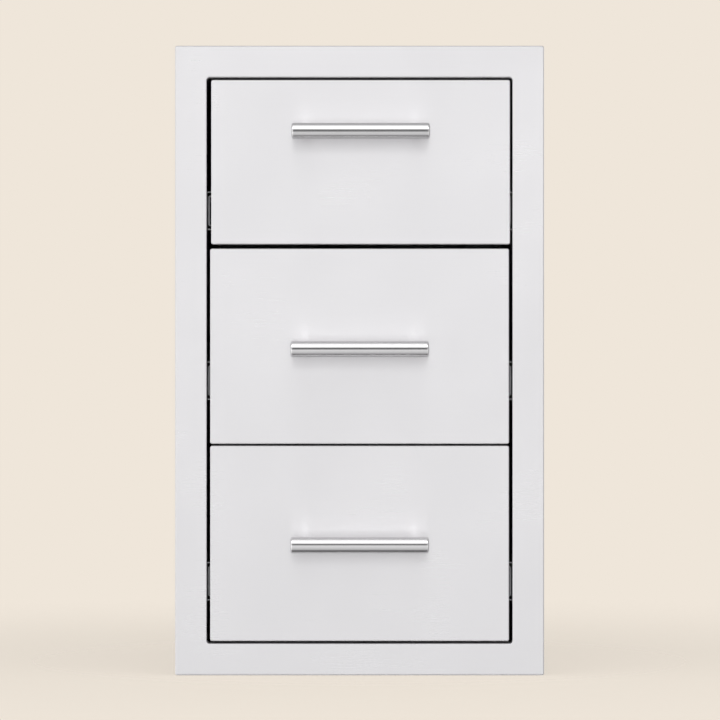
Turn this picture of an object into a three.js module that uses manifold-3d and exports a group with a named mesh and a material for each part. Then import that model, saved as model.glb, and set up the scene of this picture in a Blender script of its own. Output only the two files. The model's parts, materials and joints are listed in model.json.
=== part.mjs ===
// Outdoor kitchen drawer unit: a trim frame and a sheet box that go into a cut-out in an
// island, and three drawers of unlike heights on full-extension ball slides.
// Lengths are in millimetres. X runs to the right, Y into the island and Z up. The origin is
// the middle of the plane in which the frame's rear lip meets the island's face.
import * as THREE from 'three';
import { mergeVertices } from 'three/addons/utils/BufferGeometryUtils.js';
import Module from 'manifold-3d';

const wasm = await Module();
wasm.setup();

// Clearances and cuts
const fitGap = 0.3;            // between pieces that lie on each other
const overrun = 5;             // how far a cutting shape runs past what it cuts

// Trim frame, one folded ring of sheet
const frameWidth = 431.8;
const frameHeight = 736.6;
const frameDepth = 12.7;       // from the island's face to the frame's face
const frameBorder = 37.2;      // from the outer edge to the opening
const frameSheet = 1.2;
const frameBend = 0.9;         // inside radius of a fold
const frameCorner = 2;
const openingCorner = 3;
const seatLip = 12;            // width of the lip that lies on the island
const returnDepth = 7.3;       // how far the opening's return goes behind the lip

// Box behind the frame
const boxSheet = 1;
const boxBend = 0.6;
const boxLap = 10;             // how far its panels reach into the hollow of the frame
const boxFlange = 12;          // lips along the edges of the side and back panels
const rearSpace = 41.2;        // from the ends of the slides to the back panel

// Drawer fronts
const sideGap = 3.7;           // beside a front, in the opening
const upperGap = 2.7;          // over each front
const middleGap = 4.9;
const lowerGap = 2.1;
const bottomGap = 2.8;         // under the lowest front
const upperFrontHeight = 192.5; // the two deep fronts share what is left
const upperFrontShift = 1.2;   // how far the upper front is set to the right
const frontDepth = 19;
const frontSheet = 1;
const frontBend = 1.1;
const frontCorner = 2;
const frontLip = 10;           // lip round the back of the front's skin
const linerSheet = 1;
const linerInset = 0.6;        // how far the liner stays inside the front's edges

// Trays
const traySheet = 1;
const trayBend = 1;
const trayCorner = 5;
const trayHem = 10;            // height of the folded hem along the top edge
const trayOverhang = 4;        // how far a tray reaches past the ends of its rails
const upperTrayRise = 11.9;    // from a front's bottom edge to the tray
const middleTrayRise = 13.9;
const lowerTrayRise = 13.5;
const upperTrayDrop = 35.6;    // from a front's top edge to the tray's hem
const middleTrayDrop = 39.7;
const lowerTrayDrop = 40.1;

// Telescopic ball slides
const upperSlideRise = 28.1;   // from a tray's bottom to the middle of its slides
const middleSlideRise = 60.1;
const lowerSlideRise = 55.5;
const slideLength = 457.2;
const slideHeight = 45.7;
const slideThickness = 12.7;   // from the box's wall to the drawer rail's outer face
const slideSetback = 1;        // from the liner to the ends of the rails
const railSheet = 1.2;
const railBend = 0.5;
const ballDiameter = 3.5;
const cageLength = 200;
const cageSheet = 0.6;
const cageBend = 0.3;
const ballsPerRace = 3;

// Handles
const upperBarDrop = 62;       // from a front's top edge to the middle of its bar
const middleBarDrop = 117.6;
const lowerBarDrop = 114.3;
const barDiameter = 19;
const barLength = 161;
const barEdge = 2;             // radius round the bar's ends
const barReach = 45;           // from the front's face to the middle of the bar
const postDiameter = 12;
const postSpacing = 128;
const screwDiameter = 5;
const screwInPost = 14;        // how far the screw goes into a post
const screwHoleSpare = 2;      // how much deeper the post's hole is
const screwTip = 0.8;          // chamfer on the end of the screw
const screwHeadDiameter = 9.5;
const screwHeadRim = 1;
const screwHeadHeight = 3;

// Facets
const bendSteps = 2;
const cornerSteps = 3;
const barFacets = 28;
const postFacets = 20;
const screwFacets = 12;
const edgeSteps = 3;

// Sizes that follow from the ones above
const openingHalfWidth = frameWidth / 2 - frameBorder;
const openingHalfHeight = frameHeight / 2 - frameBorder;
const frontWidth = 2 * (openingHalfWidth - sideGap);
const frontsHeight = 2 * openingHalfHeight - upperGap - middleGap - lowerGap - bottomGap;
const deepFrontHeight = (frontsHeight - upperFrontHeight) / 2;
const boxHalfInside = openingHalfWidth + frameSheet + fitGap;
const boxHalfWidth = boxHalfInside + boxSheet;
const sideHalfHeight = openingHalfHeight + frameSheet;
const linerBack = frontDepth - frameDepth + fitGap + linerSheet;
const slideFront = Math.max(returnDepth, linerBack) + slideSetback;
const slideBack = slideFront + slideLength;
const boxBack = slideBack + rearSpace;
const trayFront = linerBack + fitGap;
const trayBack = slideBack + trayOverhang;
const trayHalfWidth = boxHalfInside - slideThickness - fitGap;
const raceGap = ballDiameter + 2 * fitGap;

// The three drawers, from the top
const drawers = [
  {
    name: 'upper',
    gapAbove: upperGap,
    frontHeight: upperFrontHeight,
    frontShift: upperFrontShift,
    barDrop: upperBarDrop,
    trayRise: upperTrayRise,
    trayDrop: upperTrayDrop,
    slideRise: upperSlideRise,
  },
  {
    name: 'middle',
    gapAbove: middleGap,
    frontHeight: deepFrontHeight,
    frontShift: 0,
    barDrop: middleBarDrop,
    trayRise: middleTrayRise,
    trayDrop: middleTrayDrop,
    slideRise: middleSlideRise,
  },
  {
    name: 'lower',
    gapAbove: lowerGap,
    frontHeight: deepFrontHeight,
    frontShift: 0,
    barDrop: lowerBarDrop,
    trayRise: lowerTrayRise,
    trayDrop: lowerTrayDrop,
    slideRise: lowerSlideRise,
  },
];

// Materials
const steel = (color, roughness) => new THREE.MeshStandardMaterial({ color, roughness, metalness: 1 });
const materials = {
  frame: steel(0xd2d2d0, 0.34),
  box: steel(0xb4b5b6, 0.42),
  front: steel(0xd6d6d4, 0.33),
  liner: steel(0xbfc0c0, 0.4),
  tray: steel(0xc2c3c3, 0.38),
  bar: steel(0xdededc, 0.22),
  screw: steel(0xa9aaab, 0.3),
  rail: steel(0xa7abae, 0.36),
  cage: steel(0x8e9294, 0.4),
};

// Solids

function solidOf(geometry) {
  const bare = geometry.clone();
  bare.deleteAttribute('normal');
  bare.deleteAttribute('uv');
  const merged = mergeVertices(bare);
  return new wasm.Manifold(new wasm.Mesh({
    numProp: 3,
    vertProperties: merged.attributes.position.array,
    triVerts: Uint32Array.from(merged.index.array),
  }));
}

function geometryOf(solid) {
  const { vertProperties, triVerts } = solid.getMesh();
  return indexedGeometry(vertProperties, Array.from(triVerts));
}

function indexedGeometry(places, index) {
  const geometry = new THREE.BufferGeometry();
  geometry.setAttribute('position', new THREE.Float32BufferAttribute(places, 3));
  geometry.setIndex(index);
  return geometry;
}

function cut(geometry, ...tools) {
  return geometryOf(tools.reduce((rest, tool) => rest.subtract(solidOf(tool)), solidOf(geometry)));
}

function join(geometry, ...additions) {
  return geometryOf(additions.reduce((whole, piece) => whole.add(solidOf(piece)), solidOf(geometry)));
}

function boxBetween(low, high) {
  const size = new THREE.Vector3().subVectors(high, low);
  const middle = new THREE.Vector3().addVectors(low, high).multiplyScalar(0.5);
  return new THREE.BoxGeometry(size.x, size.y, size.z).translate(middle.x, middle.y, middle.z);
}

// Folded sheet

// The middle line of a sheet along a path of straight stretches, with a round bend at each
// inner point. Each place on it has the direction that points to the path's left.
function bentLine(path, radius) {
  const places = [];
  const direction = (i) => path[i + 1].clone().sub(path[i]).normalize();
  const leftOf = (along) => new THREE.Vector2(-along.y, along.x);
  places.push({ at: path[0].clone(), left: leftOf(direction(0)) });
  for (let i = 1; i < path.length - 1; i += 1) {
    const before = direction(i - 1);
    const turn = Math.atan2(before.cross(direction(i)), before.dot(direction(i)));
    const side = Math.sign(turn);
    const start = path[i].clone().addScaledVector(before, -radius * Math.tan(Math.abs(turn) / 2));
    const centre = start.clone().addScaledVector(leftOf(before), side * radius);
    for (let step = 0; step <= bendSteps; step += 1) {
      const left = leftOf(before).rotateAround(new THREE.Vector2(), (turn * step) / bendSteps);
      places.push({ at: centre.clone().addScaledVector(left, -side * radius), left });
    }
  }
  const last = path.length - 1;
  places.push({ at: path[last].clone(), left: leftOf(direction(last - 1)) });
  return places;
}

// Both faces of a folded sheet, each as points along the path
function sheetFaces(path, sheet, insideBend) {
  const line = bentLine(path.map(([x, y]) => new THREE.Vector2(x, y)), insideBend + sheet / 2);
  const face = (shift) => line.map(({ at, left }) => at.clone().addScaledVector(left, shift));
  return { left: face(sheet / 2), right: face(-sheet / 2) };
}

function sheetOutline(path, sheet, insideBend) {
  const { left, right } = sheetFaces(path, sheet, insideBend);
  return [...right, ...left.reverse()];
}

// A rectangle with round corners, as points
function roundedLoop(halfWidth, halfHeight, radius) {
  const loop = [];
  const quarters = [[1, 1], [-1, 1], [-1, -1], [1, -1]];
  quarters.forEach(([signX, signY], quarter) => {
    for (let step = 0; step <= cornerSteps; step += 1) {
      const angle = (quarter + step / cornerSteps) * (Math.PI / 2);
      loop.push([
        signX * (halfWidth - radius) + radius * Math.cos(angle),
        signY * (halfHeight - radius) + radius * Math.sin(angle),
      ]);
    }
  });
  return loop;
}

// Carries a section round a rectangle with round corners. A point of the section is how far
// it lies inside the rectangle's edge, and how high. A capped one is closed in the middle by
// a face at the section's first point and one at its last.
function sweepRound(section, halfWidth, halfHeight, cornerAt, capped) {
  const places = [];
  const index = [];
  for (const { x: inset, y: height } of section) {
    const loop = roundedLoop(halfWidth - inset, halfHeight - inset, cornerAt(inset));
    loop.forEach(([x, y]) => places.push(x, y, height));
  }
  const around = places.length / 3 / section.length;
  const bands = capped ? section.length - 1 : section.length;
  for (let band = 0; band < bands; band += 1) {
    const here = band * around;
    const next = ((band + 1) % section.length) * around;
    for (let i = 0; i < around; i += 1) {
      const j = (i + 1) % around;
      index.push(here + i, here + j, next + j, here + i, next + j, next + i);
    }
  }
  const cap = (row, forwards) => {
    const middle = places.length / 3;
    places.push(0, 0, section[row].y);
    for (let i = 0; i < around; i += 1) {
      const j = (i + 1) % around;
      const [first, second] = forwards ? [i, j] : [j, i];
      index.push(middle, row * around + first, row * around + second);
    }
  };
  if (capped) {
    cap(0, false);
    cap(section.length - 1, true);
  }
  return facingOut(indexedGeometry(places, index));
}

// Turns every face round where the surface encloses a negative volume
function facingOut(geometry) {
  const { position } = geometry.attributes;
  const index = Array.from(geometry.index.array);
  const corner = (i) => new THREE.Vector3().fromBufferAttribute(position, index[i]);
  let volume = 0;
  for (let i = 0; i < index.length; i += 3) {
    volume += corner(i).dot(corner(i + 1).cross(corner(i + 2)));
  }
  if (volume < 0) {
    index.reverse();
    geometry.setIndex(index);
  }
  return geometry;
}

const leastCorner = frameSheet / 4;
const cornerFrom = (radius) => (inset) => Math.max(radius - inset, leastCorner);

// Turns a solid that was drawn upright so that what was up faces the viewer, towards -Y
const facingFront = (geometry) => geometry.rotateX(Math.PI / 2);

// Runs an outline in X and Z along Y, from 0 to the length
function runBack(outline, length) {
  const shape = new THREE.Shape(outline);
  const run = new THREE.ExtrudeGeometry(shape, { depth: length, bevelEnabled: false });
  return facingFront(run).translate(0, length, 0);
}

function rod(radius, low, high, facets) {
  const length = high - low;
  return new THREE.CylinderGeometry(radius, radius, length, facets).translate(0, low + length / 2, 0);
}

// Trim frame and box

function frameRing() {
  const half = frameSheet / 2;
  const section = sheetOutline([
    [seatLip, half],
    [half, half],
    [half, frameDepth - half],
    [frameBorder - half, frameDepth - half],
    [frameBorder - half, -returnDepth],
  ], frameSheet, frameBend);
  const outside = cornerFrom(frameCorner);
  const cornerAt = (inset) => (inset < frameBorder / 2 ? outside(inset) : openingCorner + frameBorder - inset);
  return facingFront(sweepRound(section, frameWidth / 2, frameHeight / 2, cornerAt, false));
}

// The panel stands beside the frame's return, so its top and bottom flanges start behind it
// and end before the back panel's.
function sidePanel(side) {
  const half = boxSheet / 2;
  const tip = side * (boxHalfWidth - boxFlange);
  const web = side * (boxHalfWidth - half);
  const outline = sheetOutline([
    [tip, sideHalfHeight - half],
    [web, sideHalfHeight - half],
    [web, half - sideHalfHeight],
    [tip, half - sideHalfHeight],
  ], boxSheet, boxBend);
  const flangeCut = (from, to) => {
    const ends = [side * (boxHalfInside - boxFlange - overrun), side * boxHalfInside];
    const height = sideHalfHeight + overrun;
    return boxBetween(
      new THREE.Vector3(Math.min(...ends), from, -height),
      new THREE.Vector3(Math.max(...ends), to, height),
    );
  };
  return cut(
    runBack(outline, boxBack + boxLap).translate(0, -boxLap, 0),
    flangeCut(-boxLap - overrun, slideFront),
    flangeCut(boxBack - boxFlange - fitGap, boxBack + overrun),
  );
}

function flatPanel() {
  return new THREE.BoxGeometry(2 * boxHalfWidth, boxBack + boxLap, boxSheet);
}

function backPanel() {
  const half = boxSheet / 2;
  const section = sheetOutline([
    [boxFlange, half - boxBack],
    [half, half - boxBack],
    [half, boxFlange - boxBack],
  ], boxSheet, boxBend);
  const corner = cornerFrom(boxBend + boxSheet);
  return facingFront(sweepRound(section, boxHalfInside - fitGap, sideHalfHeight, corner, true));
}

// Slides. Across a slide, u is the distance from the box's wall.

const railTip = slideThickness - fitGap;
const cabinetRail = { web: fitGap, tip: railTip, halfHeight: slideHeight / 2 };
const intermediateRail = {
  web: cabinetRail.web + railSheet + cageSheet + 2 * fitGap,
  tip: slideThickness - railSheet - fitGap,
  halfHeight: cabinetRail.halfHeight - railSheet - raceGap,
};
const drawerRail = {
  web: slideThickness,
  tip: intermediateRail.web + railSheet + cageSheet + 2 * fitGap,
  halfHeight: intermediateRail.halfHeight - railSheet - raceGap,
};

function channel(side, { web, tip, halfHeight }, sheet, bend) {
  const acrossAt = (u) => side * (boxHalfInside - u);
  const half = sheet / 2;
  const webMiddle = acrossAt(web + Math.sign(tip - web) * half);
  return sheetOutline([
    [acrossAt(tip), halfHeight - half],
    [webMiddle, halfHeight - half],
    [webMiddle, half - halfHeight],
    [acrossAt(tip), half - halfHeight],
  ], sheet, bend);
}

function rail(side, section) {
  return runBack(channel(side, section, railSheet, railBend), slideLength);
}

// A cage runs round the inside of the rail that it lies in, with its balls in the races
function ballCage(side, around, innerTip) {
  const race = around.halfHeight - railSheet - raceGap / 2;
  const section = { web: around.web + railSheet + fitGap, tip: innerTip, halfHeight: race + cageSheet / 2 };
  const strip = runBack(channel(side, section, cageSheet, cageBend), cageLength);
  const across = side * (boxHalfInside - (section.web + innerTip) / 2);
  const balls = [];
  for (const height of [race, -race]) {
    for (let ball = 0; ball < ballsPerRace; ball += 1) {
      const along = (cageLength * (ball + 0.5)) / ballsPerRace;
      balls.push(new THREE.IcosahedronGeometry(ballDiameter / 2).translate(across, along, height));
    }
  }
  return join(strip, ...balls);
}

function slide(name, side) {
  const place = new THREE.Group();
  place.position.y = slideFront;
  const cageStart = (slideLength - cageLength) / 2;
  const cageTip = drawerRail.web - railSheet - 2 * fitGap;
  place.add(
    piece(`${name}_cabinet_rail`, rail(side, cabinetRail), materials.rail),
    piece(`${name}_outer_cage`, ballCage(side, cabinetRail, cageTip), materials.cage, [0, cageStart, 0]),
    piece(`${name}_intermediate_rail`, rail(side, intermediateRail), materials.rail),
    piece(`${name}_inner_cage`, ballCage(side, intermediateRail, cageTip), materials.cage, [0, cageStart, 0]),
    piece(`${name}_drawer_rail`, rail(side, drawerRail), materials.rail),
  );
  return place;
}

// Drawers. Each is built about the middle of its front, with the face at y = -frameDepth.

function screwHoles(shift, height) {
  const radius = screwDiameter / 2 + fitGap;
  return [-1, 1].map((side) => rod(radius, -frameDepth - overrun, trayFront + overrun, screwFacets)
    .translate(shift + (side * postSpacing) / 2, 0, height));
}

function frontSkin(frontHeight, holes) {
  const half = frontSheet / 2;
  const back = frameDepth - frontDepth;
  const section = sheetOutline([
    [frontLip, frameDepth - half],
    [half, frameDepth - half],
    [half, back + half],
    [frontLip, back + half],
  ], frontSheet, frontBend);
  const skin = sweepRound(section, frontWidth / 2, frontHeight / 2, cornerFrom(frontCorner), true);
  return cut(facingFront(skin), ...holes);
}

function frontLiner(frontHeight, holes) {
  const faces = [new THREE.Vector2(linerInset, linerSheet - linerBack), new THREE.Vector2(linerInset, -linerBack)];
  const plate = sweepRound(faces, frontWidth / 2, frontHeight / 2, cornerFrom(frontCorner), true);
  return cut(facingFront(plate), ...holes);
}

// A folded tray with a closed hem: the sheet turns in and down along the top edge
function tray(height, holes) {
  const half = traySheet / 2;
  const hemBottom = height - trayHem;
  const { left: outside, right: inside } = sheetFaces([
    [trayCorner + trayBend, half],
    [half, half],
    [half, hemBottom],
  ], traySheet, trayBend);
  const hem = [];
  for (let step = 0; step <= edgeSteps; step += 1) {
    const angle = Math.PI * (1 - step / edgeSteps);
    hem.push(new THREE.Vector2(
      traySheet * (1 + Math.cos(angle)),
      height - traySheet * (1 - Math.sin(angle)),
    ));
  }
  hem.push(new THREE.Vector2(2 * traySheet, hemBottom));
  const section = [...outside, ...hem, ...inside.reverse()];
  const halfLength = (trayBack - trayFront) / 2;
  return cut(sweepRound(section, trayHalfWidth, halfLength, cornerFrom(trayCorner), true), ...holes);
}

function handleBar() {
  const radius = barDiameter / 2;
  const profile = [new THREE.Vector2(0, -barLength / 2)];
  for (const end of [-1, 1]) {
    for (let step = 0; step <= edgeSteps; step += 1) {
      const turn = (step / edgeSteps) * (Math.PI / 2);
      const angle = end < 0 ? turn : Math.PI / 2 - turn;
      profile.push(new THREE.Vector2(
        radius - barEdge + barEdge * Math.sin(angle),
        end * (barLength / 2 - barEdge + barEdge * Math.cos(angle)),
      ));
    }
  }
  profile.push(new THREE.Vector2(0, barLength / 2));
  return new THREE.LatheGeometry(profile, barFacets).rotateZ(Math.PI / 2);
}

// A post runs from the front's face to the bar and is hollowed to fit round it
function handlePost() {
  const post = rod(postDiameter / 2, -frameDepth - barReach, -frameDepth - fitGap, postFacets);
  const saddle = rod(barDiameter / 2 + fitGap, -postDiameter, postDiameter, barFacets)
    .rotateZ(Math.PI / 2)
    .translate(0, -frameDepth - barReach, 0);
  const holeEnd = -frameDepth - fitGap - screwInPost - screwHoleSpare;
  const hole = rod(screwDiameter / 2 + fitGap, holeEnd, overrun - frameDepth, screwFacets);
  return cut(post, saddle, hole);
}

// The screw goes from inside the tray through its wall, the liner and the skin into the post
function handleScrew() {
  const radius = screwDiameter / 2;
  const tip = -frameDepth - fitGap - screwInPost;
  const seat = trayFront + traySheet + fitGap;
  const headRadius = screwHeadDiameter / 2;
  const dome = screwHeadHeight - screwHeadRim;
  const profile = [
    new THREE.Vector2(0, tip),
    new THREE.Vector2(radius - screwTip, tip),
    new THREE.Vector2(radius, tip + screwTip),
    new THREE.Vector2(radius, seat),
    new THREE.Vector2(headRadius, seat),
  ];
  for (let step = 0; step < edgeSteps; step += 1) {
    const angle = (step / edgeSteps) * (Math.PI / 2);
    profile.push(new THREE.Vector2(
      headRadius * Math.cos(angle),
      seat + screwHeadRim + dome * Math.sin(angle),
    ));
  }
  profile.push(new THREE.Vector2(0, seat + screwHeadHeight));
  return new THREE.LatheGeometry(profile, screwFacets);
}

function handle(name) {
  const place = new THREE.Group();
  place.add(piece(`${name}_handle_bar`, handleBar(), materials.bar, [0, -frameDepth - barReach, 0]));
  for (const [sideName, side] of [['left', -1], ['right', 1]]) {
    const across = (side * postSpacing) / 2;
    place.add(
      piece(`${name}_handle_${sideName}_post`, handlePost(), materials.bar, [across, 0, 0]),
      piece(`${name}_handle_${sideName}_screw`, handleScrew(), materials.screw, [across, 0, 0]),
    );
  }
  return place;
}

function drawer({ name, frontHeight, frontShift, barDrop, trayRise, trayDrop, slideRise }) {
  const barHeight = frontHeight / 2 - barDrop;
  const trayBottom = trayRise - frontHeight / 2;
  const trayMiddle = (trayFront + trayBack) / 2;

  const front = new THREE.Group();
  front.position.x = frontShift;
  const holes = screwHoles(0, barHeight);
  const pull = handle(name);
  pull.position.z = barHeight;
  front.add(
    piece(`${name}_front_skin`, frontSkin(frontHeight, holes), materials.front),
    piece(`${name}_front_liner`, frontLiner(frontHeight, holes), materials.liner),
    pull,
  );

  const trayHoles = screwHoles(frontShift, barHeight)
    .map((hole) => hole.translate(0, -trayMiddle, -trayBottom));
  const trayPiece = piece(
    `${name}_drawer_tray`,
    tray(frontHeight - trayRise - trayDrop, trayHoles),
    materials.tray,
    [0, trayMiddle, trayBottom],
  );

  const slides = new THREE.Group();
  slides.position.z = trayBottom + slideRise;
  slides.add(slide(`${name}_left`, -1), slide(`${name}_right`, 1));

  const place = new THREE.Group();
  place.add(front, trayPiece, slides);
  return place;
}

// Assembly

function piece(name, geometry, material, place = [0, 0, 0]) {
  const mesh = new THREE.Mesh(geometry, material);
  mesh.name = name;
  mesh.position.set(...place);
  return mesh;
}

const panelMiddle = (boxBack - boxLap) / 2;
const panelHeight = sideHalfHeight + fitGap + boxSheet / 2;
const unit = new THREE.Group();
unit.add(
  piece('front_frame', frameRing(), materials.frame),
  piece('left_side_panel', sidePanel(-1), materials.box),
  piece('right_side_panel', sidePanel(1), materials.box),
  piece('top_panel', flatPanel(), materials.box, [0, panelMiddle, panelHeight]),
  piece('bottom_panel', flatPanel(), materials.box, [0, panelMiddle, -panelHeight]),
  piece('back_panel', backPanel(), materials.box),
);

let edge = openingHalfHeight;
for (const sizes of drawers) {
  const placed = drawer(sizes);
  placed.position.z = edge - sizes.gapAbove - sizes.frontHeight / 2;
  unit.add(placed);
  edge -= sizes.gapAbove + sizes.frontHeight;
}

export default unit;
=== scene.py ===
import json
import math

import bmesh
import bpy
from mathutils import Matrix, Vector


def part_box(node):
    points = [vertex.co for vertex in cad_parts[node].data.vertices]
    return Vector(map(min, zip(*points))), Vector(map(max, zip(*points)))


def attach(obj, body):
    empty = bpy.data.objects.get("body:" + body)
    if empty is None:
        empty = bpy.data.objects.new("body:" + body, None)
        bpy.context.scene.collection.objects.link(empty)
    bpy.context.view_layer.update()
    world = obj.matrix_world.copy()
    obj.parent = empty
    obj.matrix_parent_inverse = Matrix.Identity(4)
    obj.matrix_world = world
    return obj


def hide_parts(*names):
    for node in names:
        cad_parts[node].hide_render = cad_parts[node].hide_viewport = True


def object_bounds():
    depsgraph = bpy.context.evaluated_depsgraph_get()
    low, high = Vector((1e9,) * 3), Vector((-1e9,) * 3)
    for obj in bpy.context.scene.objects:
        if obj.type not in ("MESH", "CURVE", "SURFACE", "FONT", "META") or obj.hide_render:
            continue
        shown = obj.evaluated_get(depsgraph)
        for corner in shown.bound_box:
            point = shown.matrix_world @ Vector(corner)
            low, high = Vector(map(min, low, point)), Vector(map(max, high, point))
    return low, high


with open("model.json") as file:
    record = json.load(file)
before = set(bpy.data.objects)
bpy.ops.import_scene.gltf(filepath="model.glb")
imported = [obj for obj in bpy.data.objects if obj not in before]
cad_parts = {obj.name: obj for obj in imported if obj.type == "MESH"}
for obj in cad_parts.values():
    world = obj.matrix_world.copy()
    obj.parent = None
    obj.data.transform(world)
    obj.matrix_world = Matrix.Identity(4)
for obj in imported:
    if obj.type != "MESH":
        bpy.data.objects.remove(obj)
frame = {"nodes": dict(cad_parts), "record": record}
cadLow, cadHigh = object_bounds()
nodes = frame["nodes"]
print("frame loaded:", len(nodes), "nodes")

# Outdoor kitchen drawer unit. Metres; the island's face is the plane y = 0.

quarterTurn = math.pi / 2
drawers = ("upper", "middle", "lower")
sides = {"left": -1, "right": 1}

# Camera

photo = {
    "size": 720,                   # pixels, square
    "unitMiddle": (359.6, 360.5),  # pixel in the middle of the frame's face
    "metresPerPixel": 0.00117,     # at the frame's face
    "distance": 5.0,               # from the camera to the frame's face
    "sensor": 36,                  # millimetres
    "clipEnd": 60,
}


def addCamera():
    lens = photo["sensor"] * photo["distance"] / (photo["size"] * photo["metresPerPixel"])
    across = (photo["size"] / 2 - photo["unitMiddle"][0]) * photo["metresPerPixel"]
    up = (photo["unitMiddle"][1] - photo["size"] / 2) * photo["metresPerPixel"]
    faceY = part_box("front_frame")[0].y
    bpy.ops.object.camera_add(
        location=(across, faceY - photo["distance"], up), rotation=(quarterTurn, 0, 0)
    )
    camera = bpy.context.object
    camera.name = "camera"
    camera.data.sensor_width = photo["sensor"]
    camera.data.lens = lens
    camera.data.clip_end = photo["clipEnd"]
    bpy.context.scene.camera = camera


# Node trees

def addNode(tree, kind, at, **settings):
    node = tree.nodes.new(kind)
    node.location = at
    for key, value in settings.items():
        if key == "inputs":
            for socket, number in value.items():
                node.inputs[socket].default_value = number
        else:
            setattr(node, key, value)
    return node


def newGroup(name, inputs, outputs):
    tree = bpy.data.node_groups.new(name, "ShaderNodeTree")
    for socket, kind, value in inputs:
        made = tree.interface.new_socket(socket, in_out="INPUT", socket_type=kind)
        if value is not None:
            made.default_value = value
    for socket, kind in outputs:
        tree.interface.new_socket(socket, in_out="OUTPUT", socket_type=kind)
    return tree, tree.nodes.new("NodeGroupInput"), tree.nodes.new("NodeGroupOutput")


def setRamp(node, stops):
    ramp = node.color_ramp
    while len(ramp.elements) < len(stops):
        ramp.elements.new(1)
    for element, (place, colour) in zip(ramp.elements, stops):
        element.position = place
        element.color = (colour, colour, colour, 1)


# Goes from one value to another while its input crosses a reach
def addFade(tree, at, reach, values=(0, 1), kind="SMOOTHSTEP"):
    return addNode(tree, "ShaderNodeMapRange", at, interpolation_type=kind,
                   inputs={"From Min": reach[0], "From Max": reach[1],
                           "To Min": values[0], "To Max": values[1]})


# Studio: soft light from a wide, even surround, a few lamps, and a pale floor

studio = {
    "background": (0.863, 0.791, 0.701),
    # brightness in front of the unit against the height above the horizon, in degrees
    "heights": ((-90, 0.16), (-62, 0.22), (-38, 0.33), (-9, 0.4), (-4, 0.25), (0, 0.1),
                (9, 0.07), (14, 0.3), (22, 0.6), (40, 0.75), (60, 0.8), (90, 0.8)),
    "leftBank": 0.94,              # brightness at the sides
    "rightBank": 0.62,
    "pastBanks": 0.5,              # share of that light left between the banks and the backdrop
    # where one kind of light turns into the next, as shares of a direction along X or Y
    "bankFade": (0.25, 0.6),
    "leftToRight": (-0.3, 0.3),
    "pastFade": (-0.1, 0.15),
    "backdropFade": (0.6, 0.98),
    "floorDrop": 0.0004,           # floor under the frame's lower edge
    "floorRadius": 1.5,
    "floorFacets": 96,
    "floorFade": (0.35, 1.425),    # distances over which the floor fades out
    "floorShare": 0.3,             # how much of the floor takes light and shade
}


def buildWorld():
    world = bpy.data.worlds.new("studio")
    bpy.context.scene.world = world
    world.use_nodes = True
    tree = world.node_tree
    tree.nodes.clear()
    place = addNode(tree, "ShaderNodeTexCoord", (-1400, 0))
    axes = addNode(tree, "ShaderNodeSeparateXYZ", (-1200, 0))
    angle = addNode(tree, "ShaderNodeMath", (-1000, 200), operation="ARCSINE")
    share = addNode(tree, "ShaderNodeMath", (-800, 200), operation="MULTIPLY_ADD",
                    inputs={1: 1 / math.pi, 2: 0.5})  # straight down is 0, straight up is 1
    ramp = addNode(tree, "ShaderNodeValToRGB", (-600, 200))
    setRamp(ramp, [(0.5 + height / 180, value) for height, value in studio["heights"]])
    sideways = addNode(tree, "ShaderNodeMath", (-1000, -50), operation="ABSOLUTE")
    banked = addFade(tree, (-800, -50), studio["bankFade"])
    bank = addFade(tree, (-800, -300), studio["leftToRight"],
                   (studio["leftBank"], studio["rightBank"]), "LINEAR")
    around = addNode(tree, "ShaderNodeMix", (-400, 100))
    past = addFade(tree, (-800, -550), studio["pastFade"], (1, studio["pastBanks"]))
    light = addNode(tree, "ShaderNodeMath", (-200, 0), operation="MULTIPLY")
    behind = addFade(tree, (-800, -800), studio["backdropFade"])
    rays = addNode(tree, "ShaderNodeLightPath", (-1000, -1050))
    shiny = addNode(tree, "ShaderNodeMath", (-800, -1050), operation="MAXIMUM")
    shinyBehind = addNode(tree, "ShaderNodeMath", (-600, -900), operation="MULTIPLY")
    showing = addNode(tree, "ShaderNodeMath", (-400, -900), operation="MAXIMUM")
    colour = addNode(tree, "ShaderNodeMix", (0, 0), data_type="RGBA")
    colour.inputs[7].default_value = (*studio["background"], 1)  # its colours are 6 and 7
    shade = addNode(tree, "ShaderNodeBackground", (200, 0))
    out = addNode(tree, "ShaderNodeOutputWorld", (400, 0))
    join = tree.links.new
    join(place.outputs["Generated"], axes.inputs[0])
    join(axes.outputs["Z"], angle.inputs[0])
    join(angle.outputs[0], share.inputs[0])
    join(share.outputs[0], ramp.inputs[0])
    join(axes.outputs["X"], sideways.inputs[0])
    join(sideways.outputs[0], banked.inputs["Value"])
    join(axes.outputs["X"], bank.inputs["Value"])
    join(banked.outputs[0], around.inputs[0])
    join(ramp.outputs[0], around.inputs[2])
    join(bank.outputs[0], around.inputs[3])
    join(axes.outputs["Y"], past.inputs["Value"])
    join(around.outputs[0], light.inputs[0])
    join(past.outputs[0], light.inputs[1])
    join(axes.outputs["Y"], behind.inputs["Value"])
    join(rays.outputs["Is Glossy Ray"], shiny.inputs[0])
    join(rays.outputs["Is Transmission Ray"], shiny.inputs[1])
    join(shiny.outputs[0], shinyBehind.inputs[0])
    join(behind.outputs[0], shinyBehind.inputs[1])
    join(shinyBehind.outputs[0], showing.inputs[0])
    join(rays.outputs["Is Camera Ray"], showing.inputs[1])
    join(showing.outputs[0], colour.inputs[0])
    join(light.outputs[0], colour.inputs[6])
    join(colour.outputs[2], shade.inputs[0])
    join(shade.outputs[0], out.inputs[0])


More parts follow.
